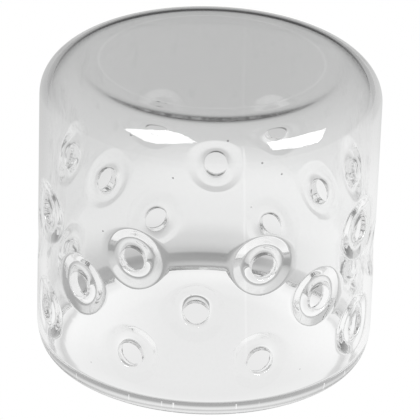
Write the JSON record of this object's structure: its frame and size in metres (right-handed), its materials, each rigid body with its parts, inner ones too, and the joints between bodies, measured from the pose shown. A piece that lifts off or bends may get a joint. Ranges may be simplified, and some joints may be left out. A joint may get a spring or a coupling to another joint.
{
  "type": "glass protective dome",
  "caption": "Clear glass protective dome: an inverted cup with a flat closed end, a rounded shoulder, a turned-in open rim and staggered rows of pierced inward dimples.",
  "frame": {"origin": "centre of the open rim, in the plane of the flat ring the dome stands on", "axes": "+Z along the axis of the dome, from the open rim towards the closed end; a dimple of the middle row faces -Y"},
  "size_m": [0.088, 0.088, 0.0803],
  "materials": {
    "clear_glass": "clear, smooth, fire-polished rim and hole lips"
  },
  "bodies": {
    "root": {"glass_dome": "clear_glass"}
  },
  "joints": []
}
